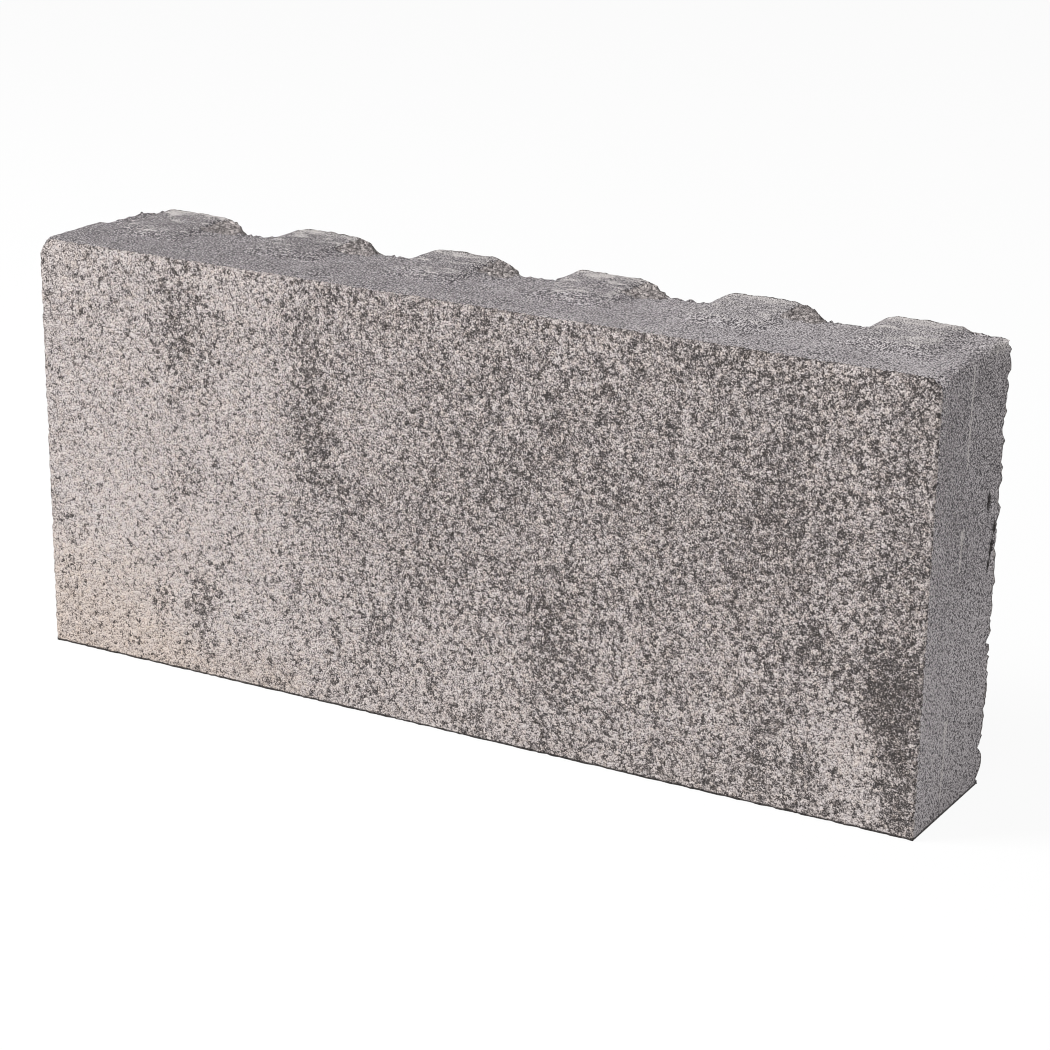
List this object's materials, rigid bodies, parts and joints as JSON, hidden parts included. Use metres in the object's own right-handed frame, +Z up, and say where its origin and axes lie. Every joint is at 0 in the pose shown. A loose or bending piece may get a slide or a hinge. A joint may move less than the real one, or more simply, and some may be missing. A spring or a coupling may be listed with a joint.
{
  "type": "concrete wall block",
  "caption": "Upright dry-cast concrete wall block with a grained fair face, spacer pads along its top and a rough back.",
  "frame": {"origin": "centre of the footprint, on the ground", "axes": "+X along the block, to the right as the fair face is seen; the fair face looks along -Y; +Z up through the spacer pads"},
  "size_m": [0.6, 0.1, 0.269],
  "materials": {
    "concrete": "dry-cast concrete, open-grained fair face in mottled greys, smooth fine-pored sides and top, rough back"
  },
  "bodies": {
    "root": {"wall_block": "concrete"}
  },
  "joints": []
}
